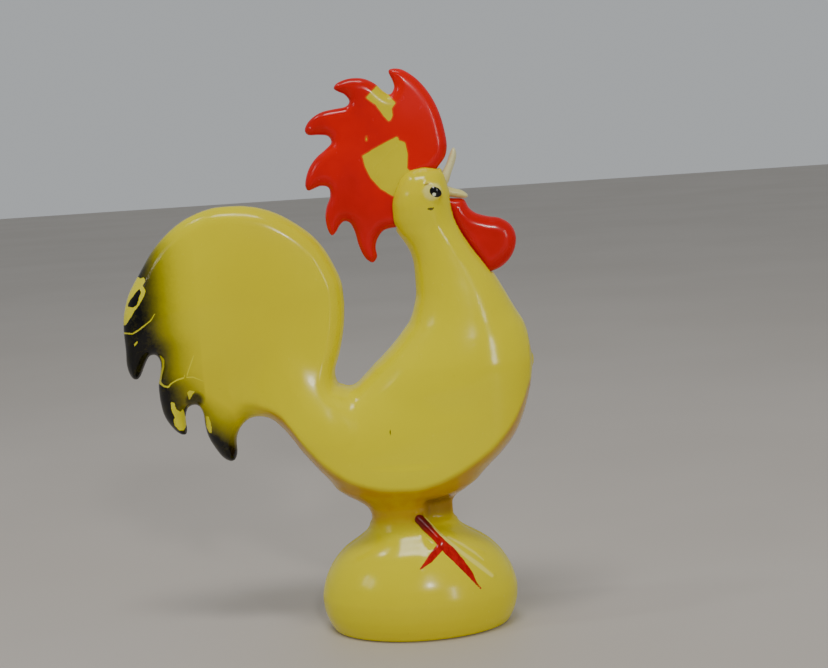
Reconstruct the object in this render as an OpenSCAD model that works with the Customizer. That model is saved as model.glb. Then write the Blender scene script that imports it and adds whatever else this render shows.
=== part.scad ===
// Wind-up hopping rooster: a two-half moulded figure on a domed base, with a
// spring motor, winding key and kicker in the base. Units are millimetres.
// Origin: middle of the base's resting face. +X is the way the rooster faces,
// +Z is up, the two halves meet on the plane Y = 0, the key is on the +Y side.

/* [Shell] */
// wall thickness of the moulded halves
wall = 1.6; // [1.2:0.1:2.4]
// gap left between the two halves on each side of the joint line
seam = 0.02; // [0.01:0.01:0.1]
// half thickness of the tail disc
tail_t = 4.8; // [3.5:0.1:6]
// half thickness of the comb blade at its root
comb_t = 2.2; // [1.6:0.1:3]
// half thickness of the wattle
wattle_t = 2.4; // [1.6:0.1:3]
// facets around the rounded masses
facets = 24; // [16:4:72]

/* [Gears] */
// gear module
gm = 0.4; // [0.3:0.05:0.5]
// teeth on the great wheel
n_great = 34; // [28:1:36]
// teeth on each pinion
n_pin = 10; // [8:1:12]
// teeth on the second wheel
n_second = 24; // [20:1:28]
// circumferential play per tooth
backlash = 0.12; // [0.05:0.01:0.2]

/* [Kicker] */
// swing of the kicker over one turn of the cam, degrees
kick = 13.2; // [8:0.1:15]
// cam turn that drives the swing, degrees
cam_run = 300; // [200:10:320]
// working gap between cam and kicker nose
cam_gap = 0.06; // [0.02:0.01:0.2]

/* [Key] */
// radius of the key wings
key_r = 8; // [6:0.5:9]
// thickness of the key wings
key_t = 1.3; // [1:0.1:2]

/* [Hidden] */
$fn = 48;
key_c = [-4, 10.5];                 // winding arbor, X and Z
sec_c = [4.2, 13.7];                // second arbor
cam_c = [9.3, 9.2];                 // cam arbor
kick_c = [-2, 4.6];                 // kicker pivot
nose = [9.3, 6.3];                  // centre of the kicker's nose at rest
nose_r = 0.8;
py0 = 6.2;                          // inner face of each motor plate
pt = 0.8;                           // motor plate thickness
posts = [[-17, 3.2], [17, 3.2], [-17, -3.2], [17, -3.2]];
pillars = [[-12.9, 6], [-10.5, 17.5], [13.4, 14.3]];
feet = [[-7, 9], [7, 9], [-7, -9], [7, -9]];
pegs = [[10, 74], [-38, 84], [14, 50]];

// ---- curves -------------------------------------------------------------
// closed smooth curve through hand-set points, n pieces between each pair
function cr(a, b, c, d, t) = 0.5 * (2 * b + (c - a) * t
  + (2 * a - 5 * b + 4 * c - d) * t * t + (3 * b - a - 3 * c + d) * t * t * t);
function smooth(p, n) = let (m = len(p)) [for (i = [0 : m - 1], k = [0 : n - 1])
  cr(p[(i + m - 1) % m], p[i], p[(i + 1) % m], p[(i + 2) % m], k / n)];
function polar(p, a0) = [for (q = p) q[0] * [cos(q[1] + a0), sin(q[1] + a0)]];
function sgn(v) = v < 0 ? -1 : 1;
function pw(v, e) = sgn(v) * pow(abs(v), e);
// a flat outline in X and Z, thickened between two Y values
module xz(y0, y1) translate([0, y1, 0]) rotate([90, 0, 0])
  linear_extrude(y1 - y0) children();
module rod(c, r, y0, y1, f = 48) translate([c[0], y0, c[1]]) rotate([-90, 0, 0])
  cylinder(r = r, h = y1 - y0, $fn = f);

// ---- skins --------------------------------------------------------------
// skin over a stack of rings that all have the same number of points
module skin(rings) {
  n = len(rings[0]); m = len(rings);
  polyhedron(
    points = [for (r = rings) for (p = r) p],
    faces = concat(
      [[for (i = [n - 1 : -1 : 0]) i]],
      [[for (i = [0 : n - 1]) (m - 1) * n + i]],
      [for (j = [0 : m - 2], i = [0 : n - 1])
        [j * n + i, j * n + (i + 1) % n, (j + 1) * n + i]],
      [for (j = [0 : m - 2], i = [0 : n - 1])
        [j * n + (i + 1) % n, (j + 1) * n + (i + 1) % n, (j + 1) * n + i]]));
}
// level ring: left X, right X, half width, squareness
function level(s, e, f = facets) = let (c = (s[1] + s[2]) / 2, a = (s[2] - s[1]) / 2)
  [for (i = [0 : f - 1]) let (w = 360 * i / f)
    [c + a * pw(cos(w), e), -s[3] * pw(sin(w), e), s[0]]];
// upright ring: X, bottom, crease, top, half width
function upright(s, f = facets) = [for (i = [0 : f - 1]) let (w = 360 * i / f)
  sin(w) >= 0
  ? [s[0], -s[4] * pw(cos(w), 0.72), s[2] + (s[3] - s[2]) * pw(sin(w), 0.62)]
  : [s[0], -s[4] * pw(cos(w), 0.9), s[2] - (s[2] - s[1]) * pw(-sin(w), 1.0)]];
// pull a level section inward by the wall, allowing for the slope
function slope(s, i, k) = let (a = s[max(i - 1, 0)], b = s[min(i + 1, len(s) - 1)])
  abs((b[k] - a[k]) / (b[0] - a[0]));
function level_in(s, i) = [s[i][0],
  s[i][1] + min(3.4, wall * sqrt(1 + pow(slope(s, i, 1), 2))),
  s[i][2] - min(3.4, wall * sqrt(1 + pow(slope(s, i, 2), 2))),
  s[i][3] - wall];

// base dome: Z, left, right, half depth
dome = [[0, -21.2, 21, 15.6], [0.8, -22.1, 21.9, 16.4], [3, -22.9, 22.7, 17.1],
  [5.5, -23.25, 23.05, 17.4], [8, -23.3, 23.1, 17.5], [11.5, -22.5, 22.5, 16.9],
  [15.5, -20.6, 20.6, 15.3], [19, -17.6, 17.9, 13.2], [21.5, -14, 14.2, 11],
  [23.4, -11.4, 10.6, 9], [24.6, -10.5, 9.2, 7.4]];
// waist
waist = [[20.5, -12.5, 11.5, 9.2], [23, -11.4, 10.2, 7.8], [25, -10.7, 9.5, 7],
  [27, -10.4, 9, 6.8], [29, -11.1, 9, 7.4], [31, -13, 9.8, 8.8],
  [33, -15.6, 12, 10.3], [35, -17.6, 14.6, 11.3], [38, -18, 16, 11.7]];
// body, front to back: X, bottom, crease, top, half width
body = [[-37, 55.4, 57, 61, 2.6], [-34, 53.4, 56, 64, 4.7],
  [-31.5, 52.4, 55, 66, 6], [-29.5, 50.6, 53.8, 67, 7.1],
  [-27, 46.9, 50.6, 67, 8.4], [-25, 42.6, 47.4, 66, 9.3],
  [-22.5, 39.1, 44.5, 63.5, 10.3], [-20, 36.4, 42.1, 61, 11.1],
  [-17, 33.6, 39.8, 58.2, 11.8], [-14, 31.9, 38, 57.4, 12.2],
  [-10, 30.8, 36.4, 60, 12.4], [-5, 30.5, 35.5, 63.9, 12.5],
  [0, 30.5, 35.4, 66, 12.5], [5, 30.8, 36.3, 67, 12.5],
  [10, 31.8, 38.3, 68, 12.3], [14, 34.5, 40.5, 69, 12],
  [18, 37.3, 43.2, 69.5, 11.4], [21.5, 40.5, 46.4, 69.5, 10.5],
  [24.5, 44.1, 50.2, 69, 9.2], [27, 49.2, 55.2, 67.6, 7.2],
  [28.5, 54.5, 59, 65.5, 4.6], [29.2, 59, 61.5, 64, 1.6]];
// neck and head: Z, back, front, half width
neck = [[54, -8, 27, 11.2], [58, -8, 28.6, 11.2], [62, -7, 29, 10.8],
  [64, -5, 28.9, 10.5], [68, -1.5, 28.3, 9.9], [70.3, 0, 27.8, 9.5],
  [72.6, 1.6, 26.9, 9.1], [75.8, 2.8, 25.5, 8.6], [79.5, 3.5, 23.6, 8],
  [82.6, 3.5, 21.9, 7.5], [85.8, 3.4, 19.8, 7.1], [88.5, 2.8, 17.9, 6.8],
  [91.3, 1.4, 16.2, 6.6], [93.8, -0.2, 14.9, 6.6], [96.7, -1.1, 13.8, 6.8],
  [99.5, -1.1, 13.3, 7], [101.7, -0.6, 13, 6.9], [104, 0.3, 12.4, 6.4],
  [106, 1.2, 12, 5.3], [107.4, 2.6, 11.2, 3.8], [108.2, 4.6, 9.6, 2]];
// tail disc rim, starting at the notch against the back
tail_c = [-38, 77];
tail_rim = [[-17.2, 59], [-16.5, 62.5], [-15, 67], [-13.7, 72], [-13.3, 77],
  [-13.4, 82], [-14.8, 86.5], [-17, 90.5], [-20, 94.3], [-24.5, 97.9],
  [-29, 100.3], [-33.5, 101.6], [-38, 102], [-43, 101.7], [-48.5, 99.8],
  [-53, 96.8], [-57, 92.8], [-60.2, 88], [-62.4, 84.5], [-64, 81],
  [-65, 76], [-65.1, 71], [-64.8, 67], [-62.5, 67], [-59, 68.6],
  [-58.4, 62], [-56.5, 58], [-50.5, 56.2], [-46, 54.2], [-40, 52.6],
  [-35.5, 53.2], [-30, 52.5], [-24, 52.5], [-19.5, 55.5]];
// rings that rise from the rim to the middle of the disc
function tail_ring(k, side, sc, t) = let (u = [0, 0.05, 0.15, 0.36, 0.7][k])
  [for (p = tail_rim) let (q = tail_c + (p - tail_c) * sc * (1 - u),
    grow = min(1, max(0, (q[0] + 40) / 26)))
    [q[0], side * (t + (sc < 1 ? 2.2 : 3.4) * grow * (0.35 + 0.65 * min(1, max(0, (82 - q[1]) / 22))))
      * sqrt(1 - pow(1 - u * 1.02, 3)), q[1]]];
module tail_disc(sc, t) skin(concat([for (k = [4 : -1 : 1]) tail_ring(k, -1, sc, t)],
  [tail_ring(0, 1, sc, t)], [for (k = [1 : 4]) tail_ring(k, 1, sc, t)]));
// tail tips: chains of X, Z, radius
tips = [[[-60, 73, 5], [-62, 68, 2.8], [-63.1, 64.4, 1.2]],
  [[-53, 64, 6], [-54.9, 57.8, 3], [-54.7, 54, 2.5], [-53.6, 50.8, 1.4]],
  [[-43, 58, 6], [-44.2, 52, 3.7], [-44.2, 48.5, 3.2], [-43.3, 45.4, 2.3], [-42.3, 43.4, 1.2]]];
module tip(c) for (i = [0 : len(c) - 2]) hull() {
  translate([c[i][0], 0, c[i][1]]) scale([1, min(1.15, 4.2 / c[i][2]), 1]) sphere(r = c[i][2], $fn = 14);
  translate([c[i + 1][0], 0, c[i + 1][1]]) scale([1, min(1.15, 4.2 / c[i + 1][2]), 1]) sphere(r = c[i + 1][2], $fn = 14);
}
// a blob chain in space: X, Y, Z, radius
module chain(c, f = 8) for (i = [0 : len(c) - 2]) hull() {
  translate([c[i][0], c[i][1], c[i][2]]) sphere(r = c[i][3], $fn = f);
  translate([c[i + 1][0], c[i + 1][1], c[i + 1][2]]) sphere(r = c[i + 1][3], $fn = f);
}

// ---- flat pieces held between the halves --------------------------------
comb_pts = [[0.5, 130.3], [1.6, 130.9], [3.8, 130.5], [6.6, 128.5], [8.9, 125.8],
  [10.7, 122.6], [11.9, 119.2], [12.6, 115.8], [12.9, 112.8], [12.4, 110.3],
  [11.1, 108.5], [9.2, 106.6], [6.2, 105.6], [4, 103.8], [2.3, 101.2],
  [1.7, 98.6], [1.6, 96.3], [0.6, 94.7], [-1.4, 94.4], [-3.1, 93.9],
  [-4.5, 92.2], [-5.1, 90.2], [-4.9, 88], [-6.1, 86.7], [-7.8, 88],
  [-9, 90.8], [-9.7, 94], [-10.6, 96.1], [-11.9, 96.7], [-13.1, 95.8],
  [-14, 94.4], [-15.1, 93.6], [-16, 95.2], [-16.3, 98], [-15.8, 100.5],
  [-14.9, 102.5], [-15, 104.6], [-16.7, 105.2], [-18.4, 104.7], [-19.8, 104.3],
  [-20.4, 105.4], [-20.1, 107.4], [-19.1, 109.7], [-17.4, 111.8], [-15.2, 113.5],
  [-13.7, 115], [-14.4, 116.5], [-16.5, 116.9], [-18.8, 117], [-19.6, 118.1],
  [-19, 119.6], [-17.6, 121], [-15.4, 122.1], [-12.6, 122.6], [-9.8, 123],
  [-8.9, 124.2], [-9.9, 125.7], [-11.4, 126.5], [-12.3, 127.3], [-11.3, 128.5],
  [-8.6, 129.3], [-5.4, 129.1], [-2.8, 127.8], [-1, 126], [0.5, 125.1],
  [1.5, 126.4], [1.4, 127.9]];
wattle_pts = [[11.6, 100.2], [13.6, 100.4], [16, 100], [17, 98.1], [18.6, 96.7],
  [21.2, 95.8], [24, 95.2], [26.3, 93.7], [27.5, 91.3], [27.3, 88.4],
  [26, 85.8], [23.9, 83.9], [21.7, 83], [19.4, 82.6], [18.4, 84.4],
  [16, 88.6], [13.6, 92.6], [12.1, 96.4]];
beak_pts = [[14, 111.9], [14.2, 110.4], [13.3, 107.4], [12.7, 104.8], [12.3, 103.5],
  [13.6, 102.8], [15.7, 102.1], [17, 100.9], [16.2, 100.25], [13, 100.75],
  [10.6, 101.2], [9.7, 102.6], [10.1, 104.6], [11.7, 106.6], [13, 109.2]];
module comb_flat() polygon(smooth(comb_pts, 2));
module wattle_flat() polygon(smooth(wattle_pts, 2));
module beak_flat() polygon(smooth(beak_pts, 2));
module blade(t, step) {
  xz(-t + 2 * step, t - 2 * step) children();
  xz(-t + step, t - step) offset(delta = -0.35) children();
  xz(-t, t) offset(delta = -0.85) children();
}

// ---- the moulded figure ------------------------------------------------
module solid_figure() {
  skin([for (s = dome) level(s, 0.96)]);
  skin([for (s = waist) level(s, 0.92)]);
  skin([for (s = body) upright(s)]);
  skin([for (s = neck) level(s, 0.9)]);
  tail_disc(1, tail_t);
  for (c = tips) tip(c);
  // thighs and shanks that run down into the dome
  for (s = [-1, 1]) {
    chain([[-3, s * 6.8, 33, 5.4], [-2.4, s * 6.6, 28, 3.6], [-2, s * 7.6, 24, 2.4], [-2.6, s * 9, 20.4, 1.8]], 14);
    chain([[0.6, s * 6.9, 27, 1], [5.6, s * 9.3, 21.4, 1.1]]);
    chain([[5.6, s * 9.3, 21.4, 1.1], [10, s * 11.6, 16.6, 1], [14, s * 12.7, 10.9, 0.7]]);
    chain([[5.6, s * 9.3, 21.4, 1], [0.4, s * 13.8, 16.9, 0.7]]);
    chain([[5.6, s * 9.3, 21.4, 1], [12, s * 9.4, 17.6, 0.9], [16.8, s * 9.6, 13, 0.7]]);
    // raised eye
    translate([8.7, s * 5.6, 102.4]) scale([2.3, 1.5, 2.3]) sphere(r = 1, $fn = 14);
  }
  // seat for the key eyelet
  rod(key_c, 4.4, 12, 17.6, 24);
}
module hollow() {
  translate([0, 0, -0.01]) skin([for (s = [[0, -19.9, 19.7, 14.3], [1.7, -19.9, 19.7, 14.3]]) level(s, 1, 48)]);
  skin([for (i = [1 : len(dome) - 3]) level(level_in(dome, i), 0.96, 20)]);
  skin([for (i = [0 : 2 : len(waist) - 1]) level(level_in(waist, i), 0.92, 14)]);
  skin([for (s = [for (i = [4 : 2 : len(body) - 3]) body[i]])
    upright([s[0], s[1] + 2.6, s[2] + 0.8, s[3] - 2.2, s[4] - wall], 16)]);
  skin([for (i = [2 : 2 : len(neck) - 3]) level(level_in(neck, i), 0.9, 14)]);
  tail_disc(0.91, 2.9);
}
module posts_and_pegs(side) {
  for (p = posts) if (p[1] * side > 0) intersection() {
    skin([for (s = dome) level([s[0], s[1] + 0.4, s[2] - 0.4, s[3] - 0.4], 0.96)]);
    translate([p[0], p[1], 1.72]) cylinder(r = 2.1, h = 9, $fn = 16);
  }
  for (p = pegs) rod(p, 2.4, side > 0 ? seam : -12, side > 0 ? 12 : -seam, 16);
}
module shell(side) difference() {
  intersection() {
    union() {
      difference() { solid_figure(); hollow(); }
      intersection() { solid_figure(); posts_and_pegs(side); }
    }
    translate([-80, side > 0 ? seam : -40 - seam, 0]) cube([120, 40, 140]);
  }
  xz(-comb_t - 0.05, comb_t + 0.05) offset(delta = 0.05) comb_flat();
  xz(-wattle_t - 0.05, wattle_t + 0.05) offset(delta = 0.05) wattle_flat();
  xz(-1.65, 1.65) offset(delta = 0.05) beak_flat();
  for (p = posts) translate([p[0], p[1], 0]) cylinder(r = 0.75, h = 8.6, $fn = 12);
  if (side > 0) {
    rod(key_c, 2.86, 8, 20, 32);
    for (p = pegs) rod(p, 1.35, -1, 2.7, 12);
  }
}
module right_shell() color("gold") union() {
  shell(-1);
  for (p = pegs) rod(p, 1.2, -3, 2.3, 12);
}
module left_shell() color("gold") shell(1);
module comb() color("red") blade(comb_t, 0.45) comb_flat();
module wattle() color("red") blade(wattle_t, 0.5) wattle_flat();
module beak() color("lemonchiffon") xz(-1.6, 1.6) beak_flat();

// ---- base plate --------------------------------------------------------
module oval(a, b, h) linear_extrude(h)
  polygon([for (i = [0 : 5 : 355]) [a * cos(i) - 0.1, b * sin(i)]]);
module base_plate() color("dimgray") difference() {
  oval(19.6, 14.1, 1.6);
  // opening for the kicker
  translate([8.1, -5, -1]) cube([5.9, 11, 4]);
  for (p = concat(posts, feet)) translate([p[0], p[1], 0]) {
    translate([0, 0, -1]) cylinder(r = 0.95, h = 4);
    translate([0, 0, -0.01]) cylinder(r1 = 2, r2 = 0.95, h = 1.05);
  }
}
module csk(p, len, r) translate([p[0], p[1], 0.08]) difference() {
  union() {
    cylinder(r1 = 1.88, r2 = r, h = 0.98);
    cylinder(r = r, h = len);
  }
  for (a = [0, 90]) rotate(a) translate([-1.2, -0.18, -0.01]) cube([2.4, 0.36, 0.5]);
}
module base_screws() color("silver") for (p = posts) csk(p, 7.8, 0.72);
module motor_screws() color("silver") for (p = feet) csk(p, 3.6, 0.72);

// ---- motor frame -------------------------------------------------------
plate_pts = [[-15, 1.65], [15.1, 1.65], [15.3, 9], [14.9, 14.6], [12, 18],
  [9.5, 19.2], [-8.5, 19.2], [-12.3, 18.2], [-14.4, 13], [-15, 8]];
module motor_plate(side) {
  y0 = side > 0 ? py0 : -py0 - pt;
  difference() {
    union() {
      xz(y0, y0 + pt) polygon(plate_pts);
      // turned-out foot
      translate([-9.2, side > 0 ? y0 : -11.2, 1.65]) cube([18.4, 11.2 - py0, 0.8]);
    }
    rod(key_c, 1.04, -20, 20);
    rod(sec_c, 0.64, -20, 20);
    rod(cam_c, 0.64, -20, 20);
    for (p = pillars) rod(p, 0.72, -20, 20);
    if (side > 0) rod(kick_c, 0.62, 0, 20);
    for (p = feet) translate([p[0], p[1], 0]) cylinder(r = 0.74, h = 5);
  }
}
module motor_plate_right() color("lightsteelblue") motor_plate(-1);
module motor_plate_left() color("lightsteelblue") motor_plate(1);
module motor_pillars() color("silver") for (p = pillars) {
  rod(p, 1.3, -py0 + 0.01, py0 - 0.01);
  rod(p, 0.7, -py0 - pt - 0.35, py0 + pt + 0.35);
  rod(p, 1.15, py0 + pt + 0.02, py0 + pt + 0.4);
  rod(p, 1.15, -py0 - pt - 0.4, -py0 - pt - 0.02);
}

// ---- mainspring and winding parts --------------------------------------
function spiral(k) = let (a = 205 - 360 * 5.4 * (1 - k)) [
  (1.95 + 4.7 * min(1, k * 1.12) + (k > 0.93 ? 36 * (k - 0.93) : 0)), a];
module mainspring() color("slategray") xz(-5.8, -2) translate(key_c) {
  difference() {
    polygon(concat(
      [for (i = [0 : 150]) let (s = spiral(i / 150)) (s[0] + 0.14) * [cos(s[1]), sin(s[1])]],
      [for (i = [150 : -1 : 0]) let (s = spiral(i / 150)) (s[0] - 0.14) * [cos(s[1]), sin(s[1])]]));
    translate(pillars[0] - key_c) circle(r = 1.5);
  }
  translate(pillars[0] - key_c) difference() { circle(r = 1.68); circle(r = 1.38); }
}
module winding_arbor() color("silver") {
  rod(key_c, 1.0, -py0 - pt - 0.6, 8);
  rod(key_c, 1.5, -py0 + 0.15, py0 - 0.15);
  // hook that holds the inner end of the spring
  translate([key_c[0] + 1.2, -4.6, key_c[1] - 0.3]) cube([0.55, 1.4, 0.6]);
  // squared end for the key
  translate([key_c[0] - 0.8, 7.6, key_c[1] - 0.8]) cube([1.6, 10.4, 1.6]);
}
function rat(i) = polar([[2.6, 0], [3.5, 0]], 36 * i);
module ratchet_wheel() color("goldenrod") xz(0.12, 1.0) translate(key_c) difference() {
  polygon([for (i = [0 : 9]) for (p = rat(i)) p]);
  circle(r = 1.52);
}
module winding_key() color("lightgray") {
  difference() {
    union() {
      rod(key_c, 2.1, 8.3, 21);
      rod(key_c, 2.7, 18.6, 20.2);
      // two rounded wings in one flat plate
      translate([key_c[0], 25, key_c[1] - key_t / 2]) linear_extrude(key_t) union() {
        for (s = [-4, 4]) polygon([for (i = [0 : 10 : 350]) [s + 4 * cos(i), 4.4 * sin(i)]]);
        translate([-2.1, -5]) square([4.2, 6.5]);
      }
    }
    // eyes in the wings
    for (s = [-1, 1]) translate([key_c[0] + s * 4.5, 25, key_c[1] - 3]) cylinder(r = 1.9, h = 6);
    // square socket
    translate([key_c[0] - 0.83, 8, key_c[1] - 0.83]) cube([1.66, 10.2, 1.66]);
  }
}
module key_eyelet() color("goldenrod") difference() {
  union() {
    rod(key_c, 2.8, 14.6, 17.9);
    rod(key_c, 3.8, 17.64, 18.1);
  }
  rod(key_c, 2.4, 14, 19);
}

// ---- gears -------------------------------------------------------------
function inv(a) = tan(a) * 180 / PI - a;
// half tooth angle at a radius
function half(n, rb, r, bl) = 90 / n - (bl / 2) / (n * gm / 2) * 180 / PI + inv(20) - inv(acos(min(1, rb / r)));
function tooth(n, add, ded, bl, k) = let (rp = n * gm / 2, rb = rp * cos(20), ra = rp + add, rr = rp - ded,
  rs = max(rb, rr), h = [for (i = [0 : 3]) rs + (ra - rs) * i / 3])
  concat([[min(rr, rs) , -half(n, rb, rs, bl) + k]],
    [for (r = h) [r, -half(n, rb, r, bl) + k]],
    [for (i = [3 : -1 : 0]) [h[i], half(n, rb, h[i], bl) + k]],
    [[min(rr, rs), half(n, rb, rs, bl) + k]]);
module gear(c, n, add, ded, a0) translate(c)
  polygon([for (i = [0 : n - 1]) for (p = tooth(n, add, ded, backlash, 360 * i / n + a0)) p[0] * [cos(p[1]), sin(p[1])]]);
b1 = atan2(sec_c[1] - key_c[1], sec_c[0] - key_c[0]);
b2 = atan2(cam_c[1] - sec_c[1], cam_c[0] - sec_c[0]);
module great_wheel() color("goldenrod") xz(-1.2, -0.2) difference() {
  gear(key_c, n_great, 0.25, 0.55, b1);
  translate(key_c) circle(r = 1.54);
  translate(key_c) for (a = [120, 165, 210, 255]) rotate(a) translate([4.4, 0]) circle(r = 1.05);
  translate(key_c + polar([[4.7, -55]], 36 * 0)[0]) circle(r = 0.5);
}
module click() color("silver") xz(0.12, 1.0) translate(key_c) difference() {
  union() {
    // springy tongue that flexes over the teeth while winding
    polygon(polar([[2.78, -2.5], [2.98, -9], [3.74, -21], [3.76, -38], [4.0, -52],
      [4.6, -50], [4.2, -34], [4.15, -18], [3.7, -4]], 0));
    translate(polar([[4.7, -55]], 0)[0]) circle(r = 1.05);
  }
  translate(polar([[4.7, -55]], 0)[0]) circle(r = 0.53);
}
module click_rivet() color("goldenrod") translate([0, 0, 0]) {
  rod(key_c + polar([[4.7, -55]], 0)[0], 0.48, -1.35, 1.3);
  rod(key_c + polar([[4.7, -55]], 0)[0], 0.85, 1.03, 1.3);
  rod(key_c + polar([[4.7, -55]], 0)[0], 0.75, -1.45, -1.22);
}
module second_arbor() color("silver") {
  rod(sec_c, 0.6, -py0 - pt - 0.3, py0 + pt + 0.3);
  rod(sec_c, 0.95, -py0 + 0.15, py0 - 0.15);
  xz(-1.75, 0.25) gear(sec_c, n_pin, 0.42, 0.42, b1 + 180 + 180 / n_pin);
}
module second_wheel() color("goldenrod") xz(1.6, 2.5) difference() {
  gear(sec_c, n_second, 0.25, 0.55, b2);
  translate(sec_c) circle(r = 0.97);
  translate(sec_c) for (a = [45 : 90 : 315]) rotate(a) translate([2.75, 0]) circle(r = 0.85);
}
module cam_arbor() color("silver") {
  rod(cam_c, 0.6, -py0 - pt - 0.3, py0 + pt + 0.3);
  rod(cam_c, 0.95, -py0 + 0.15, py0 - 0.15);
  xz(1.25, 2.8) gear(cam_c, n_pin, 0.42, 0.42, b2 + 180 + 180 / n_pin);
}

// ---- cam and kicker ----------------------------------------------------
// nose centre when the kicker has swung down by a
function swing(p, a) = kick_c + [(p[0] - kick_c[0]) * cos(a) + (p[1] - kick_c[1]) * sin(a),
  -(p[0] - kick_c[0]) * sin(a) + (p[1] - kick_c[1]) * cos(a)];
// nose path seen from the turning cam
function path(f) = let (q = swing(nose, kick * f / cam_run) - cam_c)
  [q[0] * cos(f) - q[1] * sin(f), q[0] * sin(f) + q[1] * cos(f)];
function edge(f) = let (t = path(f + 0.5) - path(f - 0.5), n = [-t[1], t[0]] / norm(t), p = path(f),
  m = (n * p > 0) ? -n : n) p + m * (nose_r + cam_gap);
cam_pts = concat([for (f = [-10 : 5 : 305]) edge(f)], [edge(305) * 0.93]);
module hop_cam() color("peru") xz(3, 5) difference() {
  translate(cam_c) polygon(cam_pts);
  translate(cam_c) circle(r = 0.97);
}
module bar(a, ra, b, rb) hull() {
  translate(a) circle(r = ra);
  translate(b) circle(r = rb);
}
module kicker_lever() color("silver") difference() {
  union() {
    xz(3, 5) {
      translate(kick_c) circle(r = 1.8);
      bar(kick_c, 1.3, [8.2, 5.05], 0.8);
      bar([8.2, 5.05], 0.8, [12.1, 4.2], 0.8);
      bar([9.3, 5.1], 0.8, nose, nose_r);
      bar([12.1, 4.2], 0.8, [12.1, 2.6], 0.8);
    }
    translate([10.9, -4.2, 1.5]) cube([2.4, 9.4, 1.4]);
  }
  rod(kick_c, 0.85, 2, 6);
}
module kicker_pad() color("saddlebrown") difference() {
  translate([10.6, -4.5, 0.2]) cube([3, 10, 1.9]);
  translate([10.88, -4.22, 1.48]) cube([2.44, 9.44, 1]);
}
module kicker_stud() color("silver") {
  rod(kick_c, 0.8, 2.6, py0 - 0.02);
  rod(kick_c, 1.35, 2.2, 2.7);
  rod(kick_c, 0.6, py0 - 0.1, py0 + pt + 0.3);
  rod(kick_c, 1.0, py0 + pt + 0.02, py0 + pt + 0.35);
}
// wire swept along a path of points
function cross3(a, b) = [a[1] * b[2] - a[2] * b[1], a[2] * b[0] - a[0] * b[2], a[0] * b[1] - a[1] * b[0]];
function unit(v) = v / norm(v);
module wire(p, r) skin([for (i = [0 : len(p) - 1]) let (
  t = unit(p[min(i + 1, len(p) - 1)] - p[max(i - 1, 0)]),
  u = unit(cross3(t, [0.05, 0.9, 0.1])), v = cross3(t, u))
  [for (k = [0 : 7]) p[i] + r * (cos(45 * k) * u - sin(45 * k) * v)]]);
module kicker_spring() color("slategray") wire(concat(
  [[4.8, 4.4, 3.72], [3.6, 4.75, 3.42], [1, 5.22, 2.9]],
  [for (i = [0 : 36]) let (a = -75 - i * 20) [kick_c[0] + 1.5 * cos(a), 5.22 + 0.0185 * i, kick_c[1] + 1.5 * sin(a)]],
  [[-5, 5.9, 4.1], [-10.6, 5.9, 6.62], [-12.9, 5.9, 7.46], [-13.9, 5.9, 7.2]]), 0.13);

right_shell();
left_shell();
comb();
wattle();
beak();
base_plate();
base_screws();
motor_plate_right();
motor_plate_left();
motor_pillars();
motor_screws();
mainspring();
winding_arbor();
ratchet_wheel();
winding_key();
key_eyelet();
great_wheel();
click();
click_rivet();
second_arbor();
second_wheel();
cam_arbor();
hop_cam();
kicker_lever();
kicker_pad();
kicker_stud();
kicker_spring();
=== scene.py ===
import math

import bpy
import numpy as np
from mathutils import Matrix, Vector


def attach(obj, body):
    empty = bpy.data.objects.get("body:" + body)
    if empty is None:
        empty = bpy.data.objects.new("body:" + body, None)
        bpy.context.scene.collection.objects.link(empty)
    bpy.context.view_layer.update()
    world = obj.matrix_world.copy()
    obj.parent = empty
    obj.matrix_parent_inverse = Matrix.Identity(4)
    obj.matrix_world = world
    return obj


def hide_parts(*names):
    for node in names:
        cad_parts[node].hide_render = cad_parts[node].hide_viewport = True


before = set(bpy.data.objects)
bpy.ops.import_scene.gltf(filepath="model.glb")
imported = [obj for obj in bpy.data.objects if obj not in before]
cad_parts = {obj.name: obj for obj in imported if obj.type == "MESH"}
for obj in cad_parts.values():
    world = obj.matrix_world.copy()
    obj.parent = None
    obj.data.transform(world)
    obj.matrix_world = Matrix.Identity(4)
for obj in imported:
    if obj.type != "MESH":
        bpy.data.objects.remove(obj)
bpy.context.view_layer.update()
MM = 0.001
scene = bpy.context.scene

# ---------------------------------------------------------------- camera
CAM_MM = np.array([2.42, -373.74, 115.27])
cam_data = bpy.data.cameras.new("camera")
cam_data.lens = 70.0
cam_data.sensor_width = 36.0
cam_data.sensor_fit = "HORIZONTAL"
cam_data.clip_start = 0.01
cam_data.clip_end = 20
cam = bpy.data.objects.new("camera", cam_data)
scene.collection.objects.link(cam)
el, roll = math.radians(7.0), math.radians(3.8)
right = Vector((1, 0, 0))
back = Vector((0, -math.cos(el), math.sin(el)))
up = back.cross(right)
ux = right * math.cos(roll) - up * math.sin(roll)
uy = right * math.sin(roll) + up * math.cos(roll)
m = Matrix((ux, uy, back)).transposed().to_4x4()
m.translation = Vector(CAM_MM * MM)
cam.matrix_world = m
scene.camera = cam


# ---------------------------------------------------------------- curves
def spline(pts, n=6, closed=True):
    p = np.array(pts, float)
    k = len(p)
    out = []
    rng = range(k) if closed else range(k - 1)
    for i in rng:
        if closed:
            a, b, c, d = p[(i - 1) % k], p[i], p[(i + 1) % k], p[(i + 2) % k]
        else:
            a, b, c, d = p[max(i - 1, 0)], p[i], p[i + 1], p[min(i + 2, k - 1)]
        for j in range(n):
            t = j / n
            out.append(0.5 * (2 * b + (c - a) * t + (2 * a - 5 * b + 4 * c - d) * t * t
                              + (3 * b - a - 3 * c + d) * t ** 3))
    if not closed:
        out.append(p[-1])
    return np.array(out)


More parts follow.
